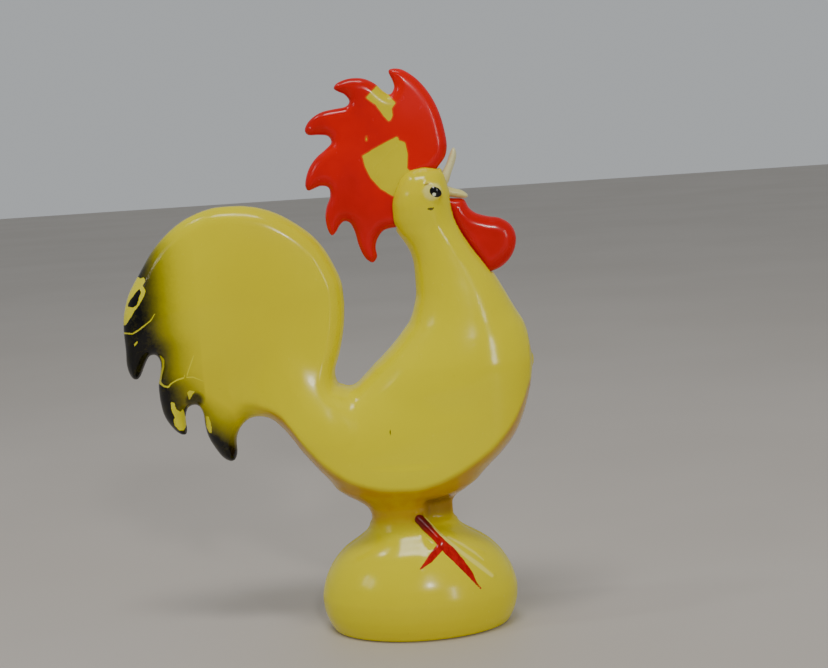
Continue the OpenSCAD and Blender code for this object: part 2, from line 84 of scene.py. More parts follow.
def poly_sdf(poly, X, Z):
    """distance to a closed outline, positive inside"""
    d2 = np.full(X.shape, 1e9)
    inside = np.zeros(X.shape, bool)
    n = len(poly)
    for i in range(n):
        ax, az = poly[i]
        bx, bz = poly[(i + 1) % n]
        ex, ez = bx - ax, bz - az
        L = ex * ex + ez * ez + 1e-12
        t = np.clip(((X - ax) * ex + (Z - az) * ez) / L, 0, 1)
        dx, dz = X - ax - t * ex, Z - az - t * ez
        d2 = np.minimum(d2, dx * dx + dz * dz)
        cond = (az > Z) != (bz > Z)
        with np.errstate(divide="ignore", invalid="ignore"):
            xi = ax + (Z - az) * ex / (ez if ez != 0 else 1e-12)
        inside ^= cond & (X < xi)
    d = np.sqrt(d2)
    return np.where(inside, d, -d)


def line_sdf(pts, X, Z):
    """stroke with a half width at each point: positive inside"""
    best = np.full(X.shape, -1e9)
    for (ax, az, ra), (bx, bz, rb) in zip(pts[:-1], pts[1:]):
        ex, ez = bx - ax, bz - az
        L = ex * ex + ez * ez + 1e-12
        t = np.clip(((X - ax) * ex + (Z - az) * ez) / L, 0, 1)
        dx, dz = X - ax - t * ex, Z - az - t * ez
        best = np.maximum(best, ra + (rb - ra) * t - np.sqrt(dx * dx + dz * dz))
    return best


def signed_lines(lines, X, Z):
    """signed distance to the nearest stroke, and the half width it has there"""
    best = np.full(X.shape, 1e9)
    sd = np.full(X.shape, 1.0)
    wd = np.full(X.shape, -5.0)
    for pts in lines:
        for i, ((ax, az, ra), (bx, bz, rb)) in enumerate(zip(pts[:-1], pts[1:])):
            ex, ez = bx - ax, bz - az
            L = math.hypot(ex, ez)
            t0 = ((X - ax) * ex + (Z - az) * ez) / (L * L)
            t = np.clip(t0, 0, 1)
            d = np.hypot(X - ax - t * ex, Z - az - t * ez)
            over = np.zeros(X.shape)
            if i == 0:
                over = np.maximum(over, -t0 * L)
            if i == len(pts) - 2:
                over = np.maximum(over, (t0 - 1) * L)
            m = d < best
            best = np.where(m, d, best)
            side = np.sign((X - ax) * ez - (Z - az) * ex)
            sd = np.where(m, d * side, sd)
            wd = np.where(m, ra + (rb - ra) * t - over * 1.5, wd)
    wd = wd - 3 * np.maximum(best - 0.7, 0)
    return np.clip(sd, -1.2, 1.2), np.clip(wd, -5, 5)


def tab(rows, k):
    """smooth function through a table's column"""
    r = np.array(rows, float)
    x, y = r[:, 0], r[:, k]
    s = np.diff(y) / np.diff(x)
    mslope = np.zeros(len(x))
    mslope[0], mslope[-1] = s[0], s[-1]
    for i in range(1, len(x) - 1):
        mslope[i] = 0 if s[i - 1] * s[i] <= 0 else 2 * s[i - 1] * s[i] / (s[i - 1] + s[i])
    xs, ys = [], []
    for i in range(len(x) - 1):
        h = x[i + 1] - x[i]
        for j in range(12):
            t = j / 12
            ys.append((2 * t ** 3 - 3 * t ** 2 + 1) * y[i] + (t ** 3 - 2 * t ** 2 + t) * h * mslope[i]
                      + (-2 * t ** 3 + 3 * t ** 2) * y[i + 1] + (t ** 3 - t ** 2) * h * mslope[i + 1])
            xs.append(x[i] + h * t)
    xs.append(x[-1]); ys.append(y[-1])
    xs, ys = np.array(xs), np.array(ys)
    return lambda q: np.interp(q, xs, ys)


def sstep(a, b, x):
    t = np.clip((x - a) / (b - a), 0, 1)
    return t * t * (3 - 2 * t)


def smin(a, b, k):
    h = np.maximum(k - np.abs(a - b), 0) / k
    return np.minimum(a, b) - h * h * k * 0.25


def smax(a, b, k):
    return -smin(-a, -b, k)


# ---------------------------------------------------------------- surface nets
class Grid:
    def __init__(self, lo, hi, h):
        self.lo = np.array(lo, float)
        self.h = h
        self.n = (np.ceil((np.array(hi, float) - self.lo) / h)).astype(int) + 1
        ax = [self.lo[i] + h * np.arange(self.n[i]) for i in range(3)]
        self.x = ax[0][:, None, None].astype(np.float32)
        self.y = ax[1][None, :, None].astype(np.float32)
        self.z = ax[2][None, None, :].astype(np.float32)
        self.X2, self.Z2 = np.meshgrid(ax[0], ax[2], indexing="ij")

    def flat(self, a2):
        return a2[:, None, :].astype(np.float32)

    def norm(self, F, lo=0.3, hi=5.0):
        """turn a field that is already in millimetres into something close to a distance"""
        F = np.ascontiguousarray(np.broadcast_to(F, tuple(self.n)), np.float32)
        gx, gy, gz = np.gradient(F, self.h)
        return F / np.clip(np.sqrt(gx * gx + gy * gy + gz * gz), lo, hi)

    def sample(self, V, P):
        q = (P - self.lo) / self.h
        q = np.clip(q, 0, np.array(self.n) - 1.001)
        i = q.astype(int)
        f = q - i
        out = 0
        for dx in (0, 1):
            for dy in (0, 1):
                for dz in (0, 1):
                    w = ((f[:, 0] if dx else 1 - f[:, 0]) * (f[:, 1] if dy else 1 - f[:, 1])
                         * (f[:, 2] if dz else 1 - f[:, 2]))
                    out = out + w * V[i[:, 0] + dx, i[:, 1] + dy, i[:, 2] + dz]
        return out

    def mesh(self, F, relax=2):
        """closed quad mesh of F = 0 (F < 0 inside)"""
        F = F.astype(np.float32)
        inside = F < 0
        n = F.shape
        c = [(i, j, k) for i in (0, 1) for j in (0, 1) for k in (0, 1)]
        corner = [F[i:n[0] - 1 + i, j:n[1] - 1 + j, k:n[2] - 1 + k] for i, j, k in c]
        ins = [inside[i:n[0] - 1 + i, j:n[1] - 1 + j, k:n[2] - 1 + k] for i, j, k in c]
        cnt = sum(a.astype(np.int8) for a in ins)
        act = (cnt > 0) & (cnt < 8)
        idx = np.argwhere(act)
        vid = np.full(act.shape, -1, np.int64)
        vid[act] = np.arange(len(idx))
        pos = np.zeros((len(idx), 3))
        num = np.zeros(len(idx))
        vals = [a[act] for a in corner]
        for a in range(8):
            for b in range(a + 1, 8):
                ca, cb = np.array(c[a]), np.array(c[b])
                if np.abs(ca - cb).sum() != 1:
                    continue
                va, vb = vals[a], vals[b]
                cr = (va < 0) != (vb < 0)
                t = np.where(cr, va / np.where(cr, va - vb, 1), 0)
                pos += np.where(cr[:, None], ca + (cb - ca) * t[:, None], 0)
                num += cr
        pos = pos / num[:, None] + idx
        V = self.lo + pos * self.h
        quads = []
        for axis in range(3):
            sl = [slice(None)] * 3; sh = [slice(None)] * 3
            sl[axis] = slice(0, n[axis] - 1); sh[axis] = slice(1, n[axis])
            a, b = inside[tuple(sl)], inside[tuple(sh)]
            e = np.argwhere(a != b)
            o = [k for k in range(3) if k != axis]
            ok = ((e[:, o[0]] > 0) & (e[:, o[1]] > 0) & (e[:, o[0]] < n[o[0]] - 1) & (e[:, o[1]] < n[o[1]] - 1))
            e = e[ok]
            s = a[tuple(e.T)]
            q = []
            for d0, d1 in ((-1, -1), (0, -1), (0, 0), (-1, 0)):
                p = e.copy()
                p[:, o[0]] += d0
                p[:, o[1]] += d1
                q.append(vid[tuple(p.T)])
            q = np.stack(q, 1)
            flip = s if axis != 1 else ~s
            q[~flip] = q[~flip][:, ::-1]
            quads.append(q)
        Q = np.concatenate(quads)
        Q = Q[(Q >= 0).all(1)]
        g = np.gradient(F, self.h)
        for _ in range(relax):
            # pull to the average of the neighbours, then back to the surface
            acc = np.zeros_like(V); w = np.zeros(len(V))
            for a in range(4):
                np.add.at(acc, Q[:, a], V[Q[:, (a + 1) % 4]] + V[Q[:, (a + 3) % 4]])
                np.add.at(w, Q[:, a], 2)
            V = V * 0.5 + 0.5 * acc / np.maximum(w, 1)[:, None]
            for _ in range(2):
                f = self.sample(F, V)
                gr = np.stack([self.sample(k, V) for k in g], 1)
                gg = np.maximum((gr ** 2).sum(1), 0.2)
                V -= np.clip(f / gg, -self.h, self.h)[:, None] * gr * 0.9
        return V, Q


def to_object(name, V, Q, attrs=None, smooth=True):
    me = bpy.data.meshes.new(name)
    V = V * MM
    me.vertices.add(len(V))
    me.vertices.foreach_set("co", V.astype(np.float32).ravel())
    me.loops.add(len(Q) * 4)
    me.loops.foreach_set("vertex_index", Q.astype(np.int32).ravel())
    me.polygons.add(len(Q))
    me.polygons.foreach_set("loop_start", np.arange(0, len(Q) * 4, 4, dtype=np.int32))
    me.update(calc_edges=True)
    me.validate()
    me.polygons.foreach_set("use_smooth", np.ones(len(me.polygons), bool) if smooth else np.zeros(len(me.polygons), bool))
    for k, v in (attrs or {}).items():
        a = me.attributes.new(k, "FLOAT", "POINT")
        a.data.foreach_set("value", v.astype(np.float32))
    o = bpy.data.objects.new(name, me)
    scene.collection.objects.link(o)
    return o


def on_mid_plane(V):
    """where each point of either flank shows when looked at from the side camera, on Y = 0"""
    P = V.copy()
    P[:, 1] = -np.abs(P[:, 1])
    t = -CAM_MM[1] / (P[:, 1] - CAM_MM[1])
    return CAM_MM[0] + (P[:, 0] - CAM_MM[0]) * t, CAM_MM[2] + (P[:, 2] - CAM_MM[2]) * t


# ---------------------------------------------------------------- the figure's shape
dome = [[-2, 19.6, 14.4], [0, 20.7, 15.2], [0.8, 21.2, 15.7], [3, 22.3, 16.8], [5.5, 23.0, 17.35],
        [8, 23.2, 17.5], [11.5, 22.5, 16.9], [15.5, 20.6, 15.3], [19, 17.7, 13.2], [21.5, 14.1, 10.9],
        [23.4, 10.4, 8.4], [24.8, 6.0, 5.0], [25.6, 2.0, 2.0], [26.2, 0.4, 0.4]]
waist = [[19, -12.2, 11.2, 9.4], [21, -11.8, 10.8, 8.9], [23, -11.0, 9.9, 8.2], [25, -10.6, 9.4, 7.8],
         [27, -10.4, 9.0, 7.6], [29, -11.1, 9.0, 7.8], [31, -13, 9.8, 8.8], [33, -15.6, 12, 10.0],
         [35, -17.6, 14.6, 10.8], [38, -18, 16, 11]]
body = [[-38, 55.6, 57.4, 61, 2.0], [-34, 53.6, 56, 64, 4.4],
        [-31.5, 52.4, 55, 66, 5.8], [-29.5, 50.6, 53.8, 67, 7.0],
        [-27, 46.9, 50.6, 67, 8.3], [-25, 42.9, 47.6, 66, 9.3],
        [-22.5, 39.4, 44.6, 63.5, 10.3], [-20, 36.6, 42.1, 61, 11.1],
        [-17, 34.0, 39.8, 58.2, 11.8], [-14, 32.4, 38, 57.5, 12.2],
        [-10, 31.4, 36.6, 60, 12.4], [-5, 31.0, 35.7, 63.9, 12.5],
        [0, 31.0, 35.5, 68, 12.5], [5, 31.2, 36.4, 70.5, 12.5],
        [10, 32.2, 38.3, 72, 12.3], [14, 34.6, 40.5, 73, 12],
        [18, 37.3, 43.2, 73.5, 11.4], [21.5, 40.5, 46.4, 73.5, 10.5],
        [24.5, 44.1, 50.2, 72.5, 9.2], [27, 49.2, 54.8, 70, 7.2],
        [28.5, 54.5, 58.6, 66.6, 4.6], [29.2, 59.3, 61.3, 63.6, 1.2], [29.4, 61, 61.8, 62.4, 0.3]]
neck = [[50, -5, 22, 7.6], [54, -8, 25.6, 9.9], [58, -9, 28.3, 10.9], [62, -7, 29.1, 11.0],
        [64, -5, 28.9, 10.8], [68, -1.5, 28.3, 10.1], [70.3, 0, 27.8, 9.6],
        [72.6, 1.6, 26.9, 9.1], [75.8, 2.8, 25.5, 8.5], [79.5, 3.5, 23.6, 7.9],
        [82.6, 3.5, 21.9, 7.4], [85.8, 3.4, 19.8, 7.0], [88.5, 2.8, 17.9, 6.7],
        [91.3, 1.4, 16.2, 6.5], [93.8, -0.2, 14.9, 6.5], [96.7, -1.1, 13.8, 6.8],
        [99.5, -1.1, 13.3, 7.0], [101.7, -0.6, 13.0, 6.9], [104, 0.3, 12.5, 6.3],
        [106, 1.3, 12.0, 5.2], [107.3, 2.6, 11.3, 3.8], [108.1, 4.4, 9.8, 2.0], [108.4, 5.6, 8.6, 0.6]]
tail = [(-15.9, 57.3), (-17, 58), (-17.35, 59.25), (-16.5, 62.5), (-15.25, 66), (-14, 71), (-13.35, 76),
        (-13.35, 80), (-13.7, 83), (-15, 86.5), (-17, 90.5), (-20, 94.3), (-24.6, 97.9), (-29, 100.3), (-33.5, 101.6),
        (-38, 102), (-43, 101.7), (-48.5, 99.8), (-53, 96.8), (-57, 92.8), (-60.25, 88), (-62, 85.3),
        (-63.5, 82.5), (-64.75, 78.5), (-65.15, 74.5), (-65.05, 70), (-65.1, 66.5), (-64.4, 63.9), (-63.25, 62.9),
        (-62.25, 63.5), (-61.25, 65.5), (-60.1, 67.7), (-58.9, 68.55), (-57.75, 68.1), (-57.15, 66.4),
        (-57.5, 64), (-58.1, 61.2), (-58, 57.5), (-57.4, 54.2), (-56, 51.5), (-54.25, 49.6), (-52.8, 49.15),
        (-52.3, 50.2), (-52.45, 53), (-51.8, 55.2), (-50.4, 56.1), (-49, 55.7), (-48.2, 53.8), (-48, 51),
        (-47.4, 48.3), (-46, 45.5), (-44.4, 43.2), (-42.7, 42.15), (-41.4, 42.6), (-40.9, 44.4), (-40.9, 47),
        (-40, 49.5), (-38, 51.75), (-35.6, 53.1), (-33.3, 53.35), (-31.2, 52.4), (-28.5, 50), (-24, 46), (-17, 44),
        (-12, 48), (-13, 54)]
comb = [(0.5, 130.3), (1.6, 130.9), (3.8, 130.5), (6.6, 128.5), (8.9, 125.8),
        (10.7, 122.6), (11.9, 119.2), (12.6, 115.8), (12.9, 112.8), (12.4, 110.3),
        (11.1, 108.5), (9.2, 106.6), (6.2, 105.6), (4, 103.8), (2.3, 101.2),
        (1.7, 98.6), (1.6, 96.3), (0.6, 94.7), (-1.4, 94.4), (-3.1, 93.9),
        (-4.5, 92.2), (-5.1, 90.2), (-4.9, 88), (-6.1, 86.7), (-7.8, 88),
        (-9, 90.8), (-9.7, 94), (-10.6, 96.1), (-11.9, 96.7), (-13.1, 95.8),
        (-14, 94.4), (-15.1, 93.6), (-16, 95.2), (-16.3, 98), (-15.8, 100.5),
        (-14.9, 102.5), (-15, 104.6), (-16.7, 105.2), (-18.4, 104.7), (-19.8, 104.3),
        (-20.4, 105.4), (-20.1, 107.4), (-19.1, 109.7), (-17.4, 111.8), (-15.2, 113.5),
        (-13.7, 115), (-14.4, 116.5), (-16.5, 116.9), (-18.8, 117), (-19.6, 118.1),
        (-19, 119.6), (-17.6, 121), (-15.4, 122.1), (-12.6, 122.6), (-9.8, 123),
        (-8.9, 124.2), (-9.9, 125.7), (-11.4, 126.5), (-12.3, 127.3), (-11.3, 128.5),
        (-8.6, 129.3), (-5.4, 129.1), (-2.8, 127.8), (-1, 126), (0.5, 125.1),
        (1.5, 126.4), (1.4, 127.9)]
wattle = [(11.6, 100.2), (13.6, 100.4), (16, 100), (17, 98.1), (18.6, 96.7),
          (21.2, 95.8), (24, 95.2), (26.3, 93.7), (27.5, 91.3), (27.3, 88.4),
          (26, 85.8), (23.9, 83.9), (21.7, 83), (19.4, 82.6), (18.4, 84.4),
          (16, 88.6), (13.6, 92.6), (12.1, 96.4)]
beak = [(14.1, 112.0), (14.75, 111.6), (14.9, 110.2), (14.35, 108.3), (13.5, 106.3), (12.9, 104.6), (12.4, 103.5),
        (13.6, 102.8), (15.7, 102.1), (17, 100.9), (16.2, 100.25), (13, 100.75),
        (10.6, 101.2), (9.7, 102.6), (10.1, 104.6), (11.2, 106.4), (12.4, 108.4), (13.2, 110.4)]
tail_p, comb_p, wattle_p, beak_p = spline(tail, 4), spline(comb, 5), spline(wattle, 5), spline(beak, 5)


def capsule(g, a, b, ra, rb):
    a, b = np.array(a, float), np.array(b, float)
    e = b - a
    L = (e * e).sum()
    t = np.clip(((g.x - a[0]) * e[0] + (g.y - a[1]) * e[1] + (g.z - a[2]) * e[2]) / L, 0, 1)
    d = np.sqrt((g.x - a[0] - t * e[0]) ** 2 + (g.y - a[1] - t * e[1]) ** 2 + (g.z - a[2] - t * e[2]) ** 2)
    return d - (ra + (rb - ra) * t)


def figure_field(g):
    ay = np.abs(g.y)
    z, x = g.z, g.x
    # domed base
    a, b = tab(dome, 1)(z), tab(dome, 2)(z)
    F = g.norm((np.sqrt(((x + 0.1) / a) ** 2 + (ay / b) ** 2) - 1) * np.minimum(a, b))
    d = np.maximum(F, z - 26.0)
    # waist and thighs: full at the back, set in at the front
    xl, xr, hw = tab(waist, 1)(z), tab(waist, 2)(z), tab(waist, 3)(z)
    cx, rx = (xl + xr) / 2, (xr - xl) / 2
    front = sstep(0.5, 4.0, x) * (1 - sstep(29.5, 33.5, z)) * sstep(19.5, 22, z)
    hw = hw * (1 - 0.56 * front)
    F = g.norm(((np.abs((x - cx) / rx) ** 2.2 + (ay / hw) ** 2.2) ** (1 / 2.2) - 1) * np.minimum(rx, hw))
    F = np.maximum(np.maximum(F, z - 38), 19 - z)
    d = smin(d, F, 2.6)
    # body
    zb, zc, zt, hh = (tab(body, k)(np.clip(x, -38, 29.4)) for k in (1, 2, 3, 4))
    upz = np.maximum(z - zc, 0) / (zt - zc)
    dnz = np.maximum(zc - z, 0) / (zc - zb)
    yy = ay / hh
    pe = 2.5 - 1.15 * (1 - sstep(-31, -13, x))
    Fu = (yy ** pe + upz ** pe) ** (1 / pe)
    Fl = (yy ** 1.5 + dnz ** 1.5) ** (1 / 1.5)
    F = np.where(z >= zc, Fu, Fl) - 1
    F = g.norm(F * np.minimum(hh, 0.5 * (zt - zb)))
    F = np.maximum(np.maximum(F, x - 29.5), -38 - x)
    d = smin(d, F, 3.2)
    # neck and head
    xl, xr, hw = (tab(neck, k)(z) for k in (1, 2, 3))
    cx, rx = (xl + xr) / 2, (xr - xl) / 2
    F = g.norm(((np.abs((x - cx) / rx) ** 2.15 + (ay / hw) ** 2.15) ** (1 / 2.15) - 1) * np.minimum(rx, hw))
    F = np.maximum(np.maximum(F, z - 108.4), 50 - z)
    d = smin(d, F, 3.0)
    # tail
    s = g.flat(poly_sdf(tail_p, g.X2, g.Z2))
    R = 3.6
    grow = sstep(-44, -14, x)
    dome_t = 1 - np.clip(s / 19, 0, 1)
    T = 3.2 + 2.1 * (1 - dome_t * dome_t) + (4.0 * grow * (0.12 + 0.88 * (1 - sstep(50, 80, z))))
    F = np.sqrt((ay / T) ** 2 + (np.maximum(R - s, 0) / R) ** 2) - 1
    F = g.norm(F * 3.4)
    d = smin(d, F, 5.0)
    # raised eye, shank and toes
    for sy in (-1, 1):
        e = np.sqrt(((x - 8.7) / 2.35) ** 2 + ((g.y - sy * 6.15) / 1.15) ** 2 + ((z - 102.4) / 2.35) ** 2) - 1
        d = smin(d, e * 1.6, 0.5)
        d = smin(d, capsule(g, (0.3, sy * 7.3, 27.4), (5.7, sy * 9.5, 21.5), 1.25, 1.15), 0.7)
        d = smin(d, capsule(g, (5.7, sy * 9.4, 21.5), (9.4, sy * 11.2, 17.3), 1.05, 1.0), 0.8)
        d = smin(d, capsule(g, (9.4, sy * 11.2, 17.3), (14.0, sy * 12.7, 10.9), 1.0, 0.45), 0.8)
        d = smin(d, capsule(g, (5.7, sy * 9.4, 21.5), (0.4, sy * 13.8, 16.9), 1.0, 0.5), 0.8)
        d = smin(d, capsule(g, (5.9, sy * 9.2, 21.7), (16.8, sy * 9.75, 13.2), 0.9, 0.5), 0.7)
        d = smin(d, capsule(g, (5.9, sy * 9.0, 21.9), (14.9, sy * 7.6, 18.2), 0.75, 0.4), 0.7)
    return d


paint_polys = {
    "patch_rim": [(-62.3, 87.9), (-61.2, 87.5), (-60.3, 86.6), (-59.4, 86.9), (-59.0, 86.0), (-59.9, 85.0), (-59.2, 83.6),
                  (-60.0, 82.0), (-61.2, 80.2), (-62.2, 79.2), (-63.3, 77.6), (-64.6, 76.0), (-67, 75.6), (-67, 80), (-65.5, 84)],
    "island": [(-60.6, 84.3), (-60.3, 83.3), (-61.0, 81.8), (-61.7, 80.2), (-62.6, 79.9), (-63.7, 80.2), (-63.3, 81.3), (-62.5, 82.3), (-61.8, 83.3)],
    "ychip": [(-55.6, 57.2), (-54.9, 57.0), (-54.5, 55.4), (-53.7, 54.6), (-52.9, 55.3), (-52.5, 53.4), (-52.5, 51.2), (-53.2, 50.2),
              (-54.3, 50.3), (-55.2, 51.4), (-55.3, 52.8), (-54.9, 53.3), (-55.6, 55.0)],
    "tri": [(-51.7, 59.6), (-49.7, 59.4), (-50.5, 58.3), (-51.3, 57.3), (-51.5, 58.4)],
    "tip3": [(-47.7, 53.5), (-46.9, 53.0), (-46.5, 50.4), (-46.6, 49.0), (-47.2, 49.2), (-47.7, 50.6)],
}
scratches = [
    ([(-65.2, 74.1, 0.17), (-63.2, 73.8, 0.16), (-61.8, 74.5, 0.13), (-60, 75.7, 0.13), (-58.6, 76.7, 0.12), (-57.5, 78.3, 0.07)]),
    ([(-63.0, 71.0, 0.2), (-62.1, 72.0, 0.12)]),
    ([(-57.2, 68.3, 0.12), (-56.6, 67.2, 0.3), (-56.7, 65.6, 0.22), (-57.4, 63.8, 0.3), (-57.9, 62.0, 0.3), (-56.9, 61.0, 0.22),
      (-55.9, 60.7, 0.2), (-55.2, 61.5, 0.18), (-53.6, 62.3, 0.18), (-51.8, 62.7, 0.14), (-50, 62.7, 0.13), (-47.5, 61.5, 0.06)]),
    ([(-49.2, 68.1, 0.05), (-50.4, 65.4, 0.13), (-51.4, 63.0, 0.1)]),
]


def shell_attrs(V):
    X, Z = on_mid_plane(V)
    A = {}
    side = V[:, 1]
    # airbrushed black: thickness of the black coat
    rim = poly_sdf(tail_p, X, Z)
    shift = 2.0 * (1 - sstep(69, 75, Z)) + 2.6 * (1 - sstep(59, 64, Z)) - 1.4 * sstep(92, 97, Z)
    main = np.interp(X - shift, [-60.5, -59, -58, -57, -56, -55, -54, -53, -52, -51, -49.5, -47],
                     [1.0, 0.93, 0.85, 0.74, 0.61, 0.5, 0.39, 0.28, 0.18, 0.11, 0.05, 0.0])
    main = main * sstep(47, 50, Z) * (X < -47.6)
    tip1 = (1 - sstep(-58.0, -57.0, X)) * (1 - sstep(68, 72, Z))
    tip2 = (1 - sstep(0.5, 1.4, rim)) * (1 - sstep(58, 60, Z)) * (X < -51.8)
    patch = (1 - sstep(0.45, 1.0, np.hypot((X + 50.2) / 3.4, (Z - 57.2) / 3.0))) * 0.92
    tip3 = np.clip(0.93 - 0.1 * (Z - 48) - 0.075 * (X + 45), 0, 1) * (X > -48.4) * (X < -36) * (Z > 38)
    faint = 0.3 * (1 - sstep(0.5, 4.5, rim)) * sstep(-48, -46, X) * (1 - sstep(-39, -34, X)) * (Z < 62)
    edge2 = 0.55 * (1 - sstep(0.1, 0.7, rim)) * (X > -49.5) * (X < -46.8) * (Z < 57) * (Z > 50)
    black = np.max([main, tip1, tip2, patch, tip3, faint, edge2], axis=0)
    A["black"] = np.clip(black, 0, 1.2)
    # painted shade: amber-brown darkening under the body and round the legs, where shade falls
    fall = tab(body, 2)(np.clip(V[:, 0], -36, 28.4)) - V[:, 2]
    A["underside_painted_shade"] = sstep(-0.2, 1.6, fall) * sstep(23.4, 28.5, V[:, 2]) * sstep(-37, -30, V[:, 0])
    chip = np.full(len(V), -50.0)
    for k, p in paint_polys.items():
        s = poly_sdf(np.array(p), X, Z)
        if k == "island":
            continue
        chip = np.maximum(chip, s)
    chip = np.minimum(chip, -poly_sdf(np.array(paint_polys["island"]), X, Z))
    A["chip"] = np.clip(chip, -5, 5)
    A["line_d"], A["line_w"] = signed_lines(scratches, X, Z)
    # painted shade: dark recess in front of the shank, under the breast
    A["pocket_painted_shade"] = (sstep(1.4, 3.2, V[:, 0]) * sstep(24.6, 27.5, V[:, 2]) * (1 - sstep(33.0, 36.5, V[:, 2]))
                   * (1 - sstep(8.0, 9.4, V[:, 0])) * (1 - sstep(6.4, 8.4, np.abs(V[:, 1]))))
    foot = line_sdf([(0.85, 25.0, 1.2), (2.6, 22.8, 1.15), (4.6, 20.4, 0.95), (5.7, 19.0, 1.05), (7.4, 17.0, 1.25), (9.8, 14.0, 1.05),
                     (12.0, 10.9, 0.72), (13.2, 8.7, 0.34), (14.5, 7.0, 0.12)], X, Z)
    foot = np.maximum(foot, line_sdf([(6.0, 18.9, 0.9), (4.6, 17.3, 0.95), (2.4, 14.9, 0.7), (0.25, 13.0, 0.2)], X, Z))
    A["foot"] = np.clip(foot, -5, 5)
    # painted highlight: pale lines along the raised ridges of the shank and outer toe, which the red also missed
    ridge_painted_highlight = line_sdf([(2.0, 25.3, 0.22), (4.4, 22.4, 0.28), (6.6, 19.9, 0.3), (10.5, 16.2, 0.35), (14, 13.2, 0.45), (17.2, 10.2, 0.3)], X, Z)
    ridge_painted_highlight = np.maximum(ridge_painted_highlight, line_sdf([(7.4, 20.4, 0.1), (10.6, 18.3, 0.2), (13.2, 16.3, 0.18), (15.3, 14.2, 0.06)], X, Z))
    A["ridge_painted_highlight"] = np.clip(ridge_painted_highlight, -5, 5)
    # painted shade: the shank's red is drawn dark above z 20.5 to 23.8, where it runs up under the body
    A["leg_painted_shade_fade"] = np.clip(1 - sstep(20.5, 23.8, Z), 0, 1)
    # eye
    c, s_ = math.cos(math.radians(-35)), math.sin(math.radians(-35))
    ex, ez = (X - 9.55), (Z - 102.05)
    u, v = ex * c + ez * s_, -ex * s_ + ez * c
    pupil = (1 - np.sqrt((u / 1.5) ** 2 + (v / 1.12) ** 2)) * 1.2
    A["pupil"] = np.clip(pupil, -5, 5)
    # painted highlight: small pale glint on the pupil
    A["glint"] = np.clip(0.52 - np.hypot((X - 9.2) * 1.0, (Z - 101.5) * 1.15), -5, 5)
    A["eyepale"] = np.clip(1 - np.sqrt(((X - 8.8) / 2.3) ** 2 + ((Z - 102.2) / 2.2) ** 2), -5, 5)
    brow = line_sdf([(7.1, 103.9, 0.16), (7.9, 104.05, 0.2), (8.5, 103.7, 0.12)], X, Z)
    speck = np.maximum(line_sdf([(7.6, 98.35, 0.18), (8.3, 98.2, 0.36), (8.9, 98.5, 0.1)], X, Z),
                       line_sdf([(-4.75, 47.2, 0.1), (-4.8, 46.3, 0.26), (-4.75, 45.8, 0.1)], X, Z))
    A["brow"] = np.clip(brow, -5, 5)
    A["speck"] = np.clip(speck, -5, 5)
    return A


# ---------------------------------------------------------------- build the moulded halves
H = 0.48
key_x, key_z = -4.0, 10.5
posts = [(-17, 3.2), (17, 3.2)]
pegs = [(10, 74), (-38, 84), (14, 50)]


def half_shell(side):
    lo = [-66.6, -1.0, -1.0] if side > 0 else [-66.6, -18.6, -1.0]
    hi = [30.6, 18.6, 109.6] if side > 0 else [30.6, 1.0, 109.6]
    g = Grid(lo, hi, H)
    d = figure_field(g)
    if side > 0:
        boss = np.sqrt((g.x - key_x) ** 2 + (g.z - key_z) ** 2) - 4.4
        boss = smax(boss + 0 * g.y, g.y - 17.6 + 0 * boss, 0.5)
        boss = np.maximum(boss, 12 - g.y)
        d = smin(d, boss, 0.8)
    d = g.norm(d, 0.4, 2.0)
    inner = d + 1.6
    # screw posts and locating pegs stay solid inside
    for px, py in posts:
        p = np.sqrt((g.x - px) ** 2 + (g.y - side * py) ** 2) - 2.1
        inner = np.maximum(inner, -(np.maximum(p, np.maximum(1.72 - g.z, g.z - 10.7))))
    for px, pz in pegs:
        p = np.sqrt((g.x - px) ** 2 + (g.z - pz) ** 2) - 2.4
        inner = np.maximum(inner, -(p + 0 * g.y))
    d = np.maximum(d, -inner)
    # recess for the base plate
    plate = (np.sqrt(((g.x + 0.1) / 19.8) ** 2 + (g.y / 14.3) ** 2) - 1) * 14.5
    plate = np.maximum(plate, g.z - 1.72)
    d = np.maximum(d, -plate)
    d = smax(d, -g.z + 0 * d, 0.3)
    # slots for the flat pieces
    for poly, t in ((comb_p, 2.25), (wattle_p, 2.45), (beak_p, 1.65)):
        s = g.flat(-poly_sdf(poly, g.X2, g.Z2)) - 0.06
        d = np.maximum(d, -np.maximum(s, np.abs(g.y) - t))
    for px, py in posts:
        p = np.sqrt((g.x - px) ** 2 + (g.y - side * py) ** 2) - 0.75
        d = np.maximum(d, -np.maximum(p, g.z - 8.6))
    if side > 0:
        p = np.sqrt((g.x - key_x) ** 2 + (g.z - key_z) ** 2) - 2.86
        d = np.maximum(d, -np.maximum(p, 8 - g.y))
        for px, pz in pegs:
            p = np.sqrt((g.x - px) ** 2 + (g.z - pz) ** 2) - 1.35
            d = np.maximum(d, -np.maximum(p, g.y - 2.7))
    # joint line
    d = smax(d, 0.03 - side * g.y + 0 * d, 0.3)
    V, Q = g.mesh(d, relax=2)
    return V, Q


def flat_piece(poly, lo, hi, h, T, R, pw=2.0, T_of=None):
    g = Grid(lo, hi, h)
    s = g.flat(poly_sdf(poly, g.X2, g.Z2))
    TT = T if T_of is None else T_of(g)
    F = (np.maximum(np.abs(g.y) / TT, 0) ** pw + (np.maximum(R - s, 0) / R) ** 2) ** (1 / 2.0) - 1 if pw == 2.0 else \
        ((np.abs(g.y) / TT) ** pw + (np.maximum(R - s, 0) / R) ** pw) ** (1 / pw) - 1
    F = g.norm(F * R)
    return g.mesh(F, relax=2)


# ---------------------------------------------------------------- materials
def mat(name):
    m = bpy.data.materials.new(name)
    m.use_nodes = True
    nt = m.node_tree
    for n in list(nt.nodes):
        nt.nodes.remove(n)
    out = nt.nodes.new("ShaderNodeOutputMaterial")
    b = nt.nodes.new("ShaderNodeBsdfPrincipled")
    nt.links.new(b.outputs[0], out.inputs[0])
    return m, nt, b


